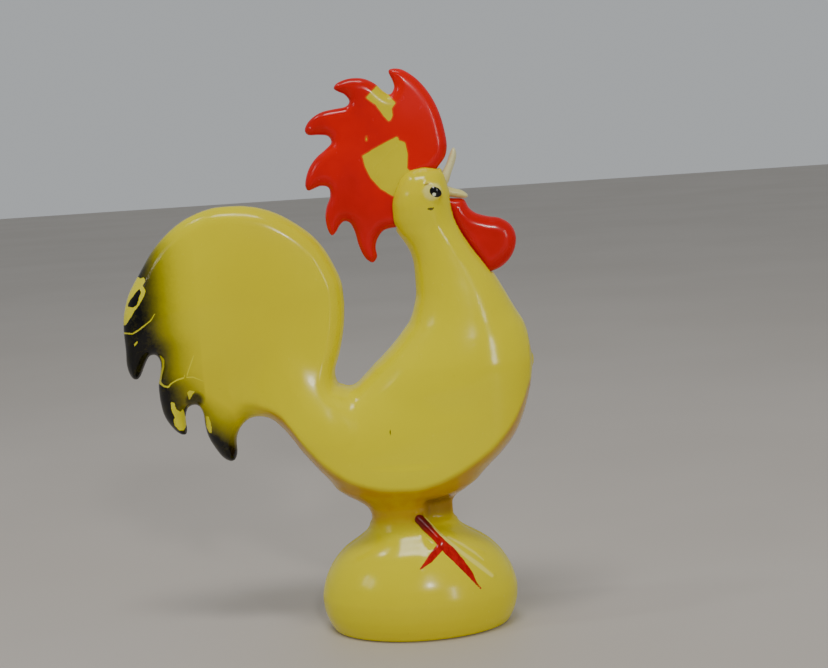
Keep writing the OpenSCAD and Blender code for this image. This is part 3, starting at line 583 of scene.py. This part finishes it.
class N:
    def __init__(self, nt):
        self.nt = nt
        tc = nt.nodes.new("ShaderNodeTexCoord")
        self.obj = tc.outputs["Object"]

    def link(self, a, b):
        self.nt.links.new(a, b)

    def val(self, sock, v):
        if hasattr(v, "is_linked") or isinstance(v, bpy.types.NodeSocket):
            self.link(v, sock)
        else:
            sock.default_value = v

    def math(self, op, a, b=None, c=None, clamp=False):
        n = self.nt.nodes.new("ShaderNodeMath")
        n.operation = op
        n.use_clamp = clamp
        self.val(n.inputs[0], a)
        if b is not None:
            self.val(n.inputs[1], b)
        if c is not None:
            self.val(n.inputs[2], c)
        return n.outputs[0]

    def noise(self, scale, detail=3.0, rough=0.5, coord=None, dim=None):
        n = self.nt.nodes.new("ShaderNodeTexNoise")
        self.link(coord or self.obj, n.inputs["Vector"])
        n.inputs["Scale"].default_value = scale
        n.inputs["Detail"].default_value = detail
        n.inputs["Roughness"].default_value = rough
        return n.outputs["Fac"]

    def voronoi(self, scale, feature="F1"):
        n = self.nt.nodes.new("ShaderNodeTexVoronoi")
        n.feature = feature
        self.link(self.obj, n.inputs["Vector"])
        n.inputs["Scale"].default_value = scale
        return n.outputs["Distance"]

    def stretch(self, sx, sy, sz):
        n = self.nt.nodes.new("ShaderNodeMapping")
        self.link(self.obj, n.inputs["Vector"])
        n.inputs["Scale"].default_value = (sx, sy, sz)
        return n.outputs[0]

    def ramp(self, fac, a, b, lo=0.0, hi=1.0):
        n = self.nt.nodes.new("ShaderNodeMapRange")
        n.interpolation_type = "SMOOTHSTEP"
        self.val(n.inputs["Value"], fac)
        n.inputs["From Min"].default_value = a
        n.inputs["From Max"].default_value = b
        n.inputs["To Min"].default_value = lo
        n.inputs["To Max"].default_value = hi
        return n.outputs[0]

    def mix(self, fac, a, b):
        n = self.nt.nodes.new("ShaderNodeMix")
        n.data_type = "RGBA"
        n.clamp_factor = True
        self.val(n.inputs["Factor"], fac)
        self.val(n.inputs[6], a)
        self.val(n.inputs[7], b)
        return n.outputs[2]

    def attr(self, name):
        n = self.nt.nodes.new("ShaderNodeAttribute")
        n.attribute_type = "GEOMETRY"
        n.attribute_name = name
        return n.outputs["Fac"]

    def bump(self, height, strength, dist, normal=None):
        n = self.nt.nodes.new("ShaderNodeBump")
        n.inputs["Strength"].default_value = strength
        n.inputs["Distance"].default_value = dist
        self.link(height, n.inputs["Height"])
        if normal is not None:
            self.link(normal, n.inputs["Normal"])
        return n.outputs[0]


def rgb(r, g, b):
    def lin(c):
        c /= 255
        return c / 12.92 if c <= 0.04045 else ((c + 0.055) / 1.055) ** 2.4
    return (lin(r), lin(g), lin(b), 1.0)


YELLOW, YELLOW2 = rgb(234, 221, 0), rgb(228, 211, 0)
RED, RED2 = rgb(232, 4, 2), rgb(205, 6, 2)
CREAM = rgb(240, 234, 176)


def gloss(n, b, extra_rough=None, base=0.2):
    """hard glossy enamel with orange peel and fine dust specks"""
    rough = n.ramp(n.noise(70, 4), 0.3, 0.7, base - 0.04, base + 0.07)
    fine = n.ramp(n.noise(900, 2), 0.62, 0.78, 0.0, 0.10)
    rough = n.math("ADD", rough, fine)
    if extra_rough is not None:
        rough = n.math("ADD", rough, extra_rough, clamp=True)
    n.link(rough, b.inputs["Roughness"])
    b.inputs["Specular IOR Level"].default_value = 0.34
    b.inputs["Coat Weight"].default_value = 0.12
    b.inputs["Coat Roughness"].default_value = 0.08
    b.inputs["IOR"].default_value = 1.45
    peel = n.noise(260, 2, 0.4)
    wave = n.noise(45, 1, 0.4)
    h = n.math("ADD", n.math("MULTIPLY", peel, 0.25), n.math("MULTIPLY", wave, 1.0))
    return h


def shell_material():
    m, nt, b = mat("yellow_enamel")
    n = N(nt)
    big = n.ramp(n.noise(22, 3), 0.35, 0.7)
    col = n.mix(big, YELLOW, YELLOW2)
    # painted shade: amber-brown under the body and round the legs
    underside_shade_amount = n.math("MULTIPLY", n.attr("underside_painted_shade"), n.ramp(n.noise(160, 3), 0.25, 0.75, 0.62, 0.86))
    col = n.mix(underside_shade_amount, col, rgb(186, 122, 0))
    # painted shade: dark brown in the pocket in front of the shank
    col = n.mix(n.math("MULTIPLY", n.attr("pocket_painted_shade"), 0.5), col, rgb(92, 52, 0))
    # faint darker grime in fine freckles
    frk = n.ramp(n.noise(520, 4, 0.7), 0.66, 0.8)
    col = n.mix(n.math("MULTIPLY", frk, 0.16), col, rgb(150, 118, 0))
    edge = n.noise(1500, 4, 0.65)
    edge = n.math("SUBTRACT", edge, 0.5)
    edge2 = n.math("SUBTRACT", n.noise(420, 3, 0.6), 0.5)
    # pale raised eye, and the painted highlight lines on the shank and toe ridges
    eye = n.ramp(n.math("ADD", n.attr("eyepale"), n.math("MULTIPLY", edge2, 0.5)), -0.12, 0.3)
    col = n.mix(n.math("MULTIPLY", eye, 0.62), col, rgb(244, 238, 150))
    ridge_painted_highlight = n.ramp(n.attr("ridge_painted_highlight"), -0.3, 0.12)
    col = n.mix(n.math("MULTIPLY", ridge_painted_highlight, 0.8), col, rgb(250, 240, 110))
    # airbrushed black with speckle at its soft edge, chipped back to yellow
    spk = n.math("MULTIPLY", n.math("ADD", edge, edge2), 0.12)
    blk = n.attr("black")
    dens = n.math("ADD", blk, n.math("MULTIPLY", spk, n.ramp(blk, 0.02, 0.3)), clamp=True)
    chip = n.math("ADD", n.attr("chip"), n.math("MULTIPLY", n.math("ADD", edge, n.math("MULTIPLY", edge2, 1.2)), 0.34))
    chipf = n.ramp(chip, -0.05, 0.05)
    line = n.math("SUBTRACT", n.attr("line_w"), n.math("ABSOLUTE", n.attr("line_d")))
    line = n.math("ADD", line, n.math("MULTIPLY", edge2, 0.28))
    chipf = n.math("MAXIMUM", chipf, n.math("MULTIPLY", n.ramp(line, -0.09, 0.07), 0.9))
    col = n.mix(chipf, col, rgb(236, 226, 40))
    blackf = n.math("MULTIPLY", dens, n.math("SUBTRACT", 1.0, chipf))
    col = n.mix(blackf, col, rgb(8, 8, 9))
    # red foot, brushed by hand
    foot = n.math("ADD", n.attr("foot"), n.math("MULTIPLY", n.math("ADD", edge2, n.math("MULTIPLY", edge, 0.6)), 0.35))
    footf = n.ramp(foot, -0.06, 0.06)
    streak = n.ramp(n.noise(900, 3, 0.6, n.stretch(1, 1, 0.25)), 0.35, 0.7)
    footcol = n.mix(streak, rgb(206, 8, 2), rgb(172, 4, 2))
    # painted shade: dark red on the upper shank under the body
    footcol = n.mix(n.attr("leg_painted_shade_fade"), rgb(112, 4, 2), footcol)
    col = n.mix(footf, col, footcol)
    # eye marks, and a painted highlight glint on the pupil
    pup = n.ramp(n.math("ADD", n.attr("pupil"), n.math("MULTIPLY", edge2, 0.35)), -0.05, 0.06)
    col = n.mix(pup, col, rgb(8, 9, 11))
    gl = n.ramp(n.math("ADD", n.attr("glint"), n.math("MULTIPLY", edge2, 0.3)), -0.06, 0.08)
    col = n.mix(gl, col, rgb(236, 240, 205))
    brow = n.ramp(n.attr("brow"), -0.16, 0.12)
    col = n.mix(n.math("MULTIPLY", brow, 0.75), col, rgb(120, 70, 10))
    speck = n.ramp(n.math("ADD", n.attr("speck"), n.math("MULTIPLY", edge2, 0.3)), -0.08, 0.06)
    col = n.mix(n.math("MULTIPLY", speck, 0.9), col, rgb(52, 40, 14))
    n.link(col, b.inputs["Base Color"])
    h = gloss(n, b, n.math("MULTIPLY", chipf, 0.12), 0.16)
    bm = n.bump(h, 0.35, 0.00012)
    # paint films stand a little proud
    film = n.math("ADD", n.math("MULTIPLY", footf, 1.0), n.math("MULTIPLY", n.math("MULTIPLY", dens, n.math("SUBTRACT", 1.0, chipf)), 0.9))
    film = n.math("ADD", film, n.math("MULTIPLY", pup, 0.9))
    bm = n.bump(film, 0.6, 0.00007, bm)
    n.link(bm, b.inputs["Normal"])
    return m


def red_material():
    m, nt, b = mat("red_enamel")
    n = N(nt)
    col = n.mix(n.ramp(n.noise(60, 3), 0.35, 0.7), RED, RED2)
    edge2 = n.math("SUBTRACT", n.noise(420, 3, 0.6), 0.5)
    edge = n.math("SUBTRACT", n.noise(1500, 4, 0.65), 0.5)
    frk = n.ramp(n.noise(700, 4, 0.7), 0.68, 0.8)
    col = n.mix(n.math("MULTIPLY", frk, 0.2), col, rgb(120, 0, 0))
    c = n.math("ADD", n.attr("patch"), n.math("MULTIPLY", n.math("ADD", edge2, n.math("MULTIPLY", edge, 0.5)), 0.25))
    f = n.ramp(c, -0.05, 0.05)
    rimf = n.math("MULTIPLY", n.ramp(c, -0.42, -0.08), n.math("SUBTRACT", 1.0, f))
    col = n.mix(n.math("MULTIPLY", rimf, 0.5), col, rgb(250, 110, 10))
    patchcol = n.mix(n.ramp(n.noise(60, 3), 0.3, 0.7), rgb(228, 214, 6), rgb(214, 196, 4))
    col = n.mix(f, col, patchcol)
    n.link(col, b.inputs["Base Color"])
    h = gloss(n, b, n.math("MULTIPLY", f, 0.08), 0.17)
    bm = n.bump(h, 0.4, 0.00014)
    bm = n.bump(n.math("SUBTRACT", 1.0, f), 0.7, 0.00010, bm)
    n.link(bm, b.inputs["Normal"])
    return m


def cream_material():
    m, nt, b = mat("cream_enamel")
    n = N(nt)
    col = n.mix(n.ramp(n.noise(140, 4), 0.35, 0.7), CREAM, rgb(226, 214, 130))
    col = n.mix(n.math("MULTIPLY", n.ramp(n.noise(900, 3), 0.62, 0.75), 0.3), col, rgb(170, 140, 60))
    n.link(col, b.inputs["Base Color"])
    h = gloss(n, b, None, 0.2)
    n.link(n.bump(h, 0.4, 0.0001), b.inputs["Normal"])
    return m


def metal_material(name, c1, c2, rough, scale=(1, 1, 1), metallic=1.0, aniso=0.0, spots=0.25, bump=0.00004):
    m, nt, b = mat(name)
    n = N(nt)
    lines = n.noise(900, 5, 0.65, n.stretch(*scale))
    blot = n.noise(120, 4, 0.6)
    col = n.mix(n.ramp(lines, 0.35, 0.68), c1, c2)
    tarn = n.math("MULTIPLY", n.ramp(blot, 0.52, 0.74), spots)
    col = n.mix(tarn, col, tuple(0.35 * k for k in c1[:3]) + (1.0,))
    n.link(col, b.inputs["Base Color"])
    r = n.math("ADD", n.ramp(lines, 0.3, 0.7, rough - 0.06, rough + 0.08), n.math("MULTIPLY", tarn, 0.5))
    n.link(r, b.inputs["Roughness"])
    b.inputs["Metallic"].default_value = metallic
    n.link(n.bump(lines, 0.5, bump), b.inputs["Normal"])
    return m


def plastic_material(name, c1, c2, rough, grain=1400, bump=0.00006):
    m, nt, b = mat(name)
    n = N(nt)
    g = n.noise(grain, 4, 0.6)
    big = n.noise(90, 3, 0.6)
    col = n.mix(n.ramp(big, 0.3, 0.72), c1, c2)
    col = n.mix(n.math("MULTIPLY", n.ramp(n.noise(420, 4, 0.7), 0.62, 0.78), 0.3), col, tuple(min(1, k * 1.8 + 0.02) for k in c1[:3]) + (1.0,))
    n.link(col, b.inputs["Base Color"])
    n.link(n.ramp(g, 0.3, 0.7, rough - 0.06, rough + 0.1), b.inputs["Roughness"])
    n.link(n.bump(g, 0.55, bump), b.inputs["Normal"])
    return m


steel = metal_material("stamped_steel", (0.56, 0.57, 0.58, 1), (0.42, 0.43, 0.45, 1), 0.3, (1, 1, 0.12))
turned = metal_material("turned_steel", (0.62, 0.62, 0.62, 1), (0.46, 0.46, 0.47, 1), 0.24, (0.3, 3, 0.3))
blued = metal_material("blued_spring", (0.10, 0.12, 0.19, 1), (0.05, 0.06, 0.10, 1), 0.28, (1, 0.15, 1))
brass = metal_material("brass_sheet", (0.78, 0.56, 0.22, 1), (0.62, 0.42, 0.14, 1), 0.27, (1, 1, 0.2))
plated = metal_material("plated_key", (0.80, 0.79, 0.76, 1), (0.62, 0.61, 0.58, 1), 0.16, (0.25, 1, 1), spots=0.35)
zinc = metal_material("zinc_screw", (0.60, 0.61, 0.60, 1), (0.44, 0.45, 0.45, 1), 0.33, (1, 1, 0.2))
black_plastic = plastic_material("base_plastic", (0.018, 0.018, 0.019, 1), (0.028, 0.028, 0.028, 1), 0.45)
acetal = plastic_material("cam_plastic", (0.62, 0.59, 0.50, 1), (0.54, 0.51, 0.42, 1), 0.38)
rubber = plastic_material("pad_rubber", (0.02, 0.02, 0.02, 1), (0.035, 0.034, 0.032, 1), 0.7, 2200, 0.0001)
yellow_m, red_m, cream_m = shell_material(), red_material(), cream_material()

# ---------------------------------------------------------------- visual pieces
for side, name in ((-1, "right_shell"), (1, "left_shell")):
    V, Q = half_shell(side)
    o = to_object(name + "_skin", V, Q, shell_attrs(V))
    o.data.materials.append(yellow_m)
    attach(o, "figure")
    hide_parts(name)

hc = 0.3


def comb_T(g):
    """blade thins towards the tips of the teeth"""
    r = np.hypot(g.x + 1.0, g.z - 108.0)
    return (2.2 - 0.55 * sstep(10, 24, r)) + 0 * g.y


V, Q = flat_piece(comb_p, [-21.6, -3, 85.6], [14, 3, 132], hc, 2.2, 2.7, T_of=comb_T)
X, Z = on_mid_plane(V)
patch1 = [(-6.8, 111.5), (-5.0, 112.4), (-2.9, 113.45), (-0.6, 114.5), (1.4, 115.35), (1.7, 115.2), (1.95, 114.5), (2.6, 114.25), (3.3, 113.9),
          (3.7, 111.3), (3.6, 109.8), (3.4, 108.0), (4.5, 106.8), (3.5, 104), (1.6, 101), (-0.5, 101.9), (-2.9, 103.5), (-5.2, 106.3), (-6.3, 109)]
patch2 = [(-5, 124.7), (-3.8, 126.0), (-2.4, 127.2), (-1.2, 127), (-0.4, 126.0), (0.6, 124.4), (1.75, 123.1), (0.8, 121.8), (0.85, 120.3),
          (0.35, 119.2), (-0.2, 119), (-1.2, 120.2), (-2, 121.5), (-2.9, 122.9), (-4.0, 123.8)]
s = np.maximum(poly_sdf(np.array(patch1), X, Z), poly_sdf(np.array(patch2), X, Z))
s = np.maximum(s, line_sdf([(-5.5, 115.8, 0.08), (-5.55, 115.0, 0.16)], X, Z))
o = to_object("comb_skin", V, Q, {"patch": np.clip(s, -5, 5)})
o.data.materials.append(red_m)
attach(o, "figure"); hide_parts("comb")

V, Q = flat_piece(wattle_p, [10.6, -3.2, 81.6], [28.6, 3.2, 101.6], hc, 2.4, 3.4)
o = to_object("wattle_skin", V, Q, {"patch": np.full(len(V), -5.0)})
o.data.materials.append(red_m)
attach(o, "figure"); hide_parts("wattle")

V, Q = flat_piece(beak_p, [8.8, -2.2, 99.4], [18, 2.2, 112.8], 0.2, 1.55, 1.0)
o = to_object("beak_skin", V, Q)
o.data.materials.append(cream_m)
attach(o, "figure"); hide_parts("beak")

node_mats = {
    "base_plate": black_plastic, "base_screws": zinc, "motor_screws": zinc, "motor_plate_right": steel,
    "motor_plate_left": steel, "motor_pillars": turned, "mainspring": blued, "winding_arbor": turned,
    "ratchet_wheel": brass, "winding_key": plated, "key_eyelet": brass, "great_wheel": brass, "click": blued,
    "click_rivet": brass, "second_arbor": turned, "second_wheel": brass, "cam_arbor": turned, "hop_cam": acetal,
    "kicker_lever": steel, "kicker_pad": rubber, "kicker_stud": turned, "kicker_spring": blued,
}
for name, mm_ in node_mats.items():
    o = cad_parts[name]
    o.data.materials.clear()
    o.data.materials.append(mm_)

# ---------------------------------------------------------------- floor and light
me = bpy.data.meshes.new("floor")
S = 3.0
me.from_pydata([(-S, -S, 0), (S, -S, 0), (S, S, 0), (-S, S, 0)], [], [(0, 1, 2, 3)])
floor = bpy.data.objects.new("floor", me)
scene.collection.objects.link(floor)
fm, nt, b = mat("pale_floor")
n = N(nt)
n.link(n.mix(n.ramp(n.noise(6, 3), 0.3, 0.7), (0.60, 0.545, 0.485, 1), (0.565, 0.51, 0.45, 1)), b.inputs["Base Color"])
b.inputs["Roughness"].default_value = 0.6
floor.data.materials.append(fm)

world = bpy.data.worlds.new("studio")
scene.world = world
world.use_nodes = True
wt = world.node_tree
bg = wt.nodes["Background"]
tc = wt.nodes.new("ShaderNodeTexCoord")
dot = wt.nodes.new("ShaderNodeVectorMath")
dot.operation = "DOT_PRODUCT"
wt.links.new(tc.outputs["Generated"], dot.inputs[0])
dot.inputs[1].default_value = Vector((-0.15, -0.90, 0.25)).normalized()
mr = wt.nodes.new("ShaderNodeMapRange")
mr.interpolation_type = "SMOOTHSTEP"
wt.links.new(dot.outputs["Value"], mr.inputs["Value"])
mr.inputs["From Min"].default_value = -0.6
mr.inputs["From Max"].default_value = 1.0
mr.inputs["To Min"].default_value = 0.46
mr.inputs["To Max"].default_value = 0.24
wt.links.new(mr.outputs[0], bg.inputs[1])
bg.inputs[0].default_value = (0.93, 0.97, 1.0, 1)


def area(name, loc, target, size, power, color=(1, 1, 1), shape="RECTANGLE", size_y=None):
    L = bpy.data.lights.new(name, "AREA")
    L.shape = shape
    L.size = size
    if shape == "RECTANGLE":
        L.size_y = size_y or size
    L.energy = power
    L.color = color
    o = bpy.data.objects.new(name, L)
    scene.collection.objects.link(o)
    o.location = loc
    d = Vector(target) - Vector(loc)
    o.rotation_euler = d.to_track_quat("-Z", "Y").to_euler()
    return o


def lamp(name, target_mm, direction, dist, size, power, size_y=None, color=(1, 1, 1), shape="RECTANGLE"):
    t = Vector(target_mm) * MM
    return area(name, t + Vector(direction).normalized() * dist, t, size, power, color, shape, size_y)


lamp("front_above", (0, -12, 40), (0.16, -0.88, 0.46), 1.0, 0.10, 1.9, shape="DISK")
lamp("right_window", (18, -8, 66), (0.50, -0.85, 0.19), 1.0, 0.06, 0.95, size_y=0.28)
lamp("overhead", (-30, -3, 98), (-0.06, -0.36, 0.93), 0.8, 0.36, 2.3, size_y=0.13)
lamp("left_strip_1", (4, -9, 60), (-0.74, -0.55, 0.42), 0.9, 0.016, 0.22, size_y=0.12)
lamp("left_strip_2", (4, -9, 60), (-0.80, -0.42, 0.44), 0.9, 0.016, 0.22, size_y=0.14)
lamp("top_left", (-8, -10, 20), (-0.47, -0.08, 0.87), 0.8, 0.07, 0.35, shape="DISK")
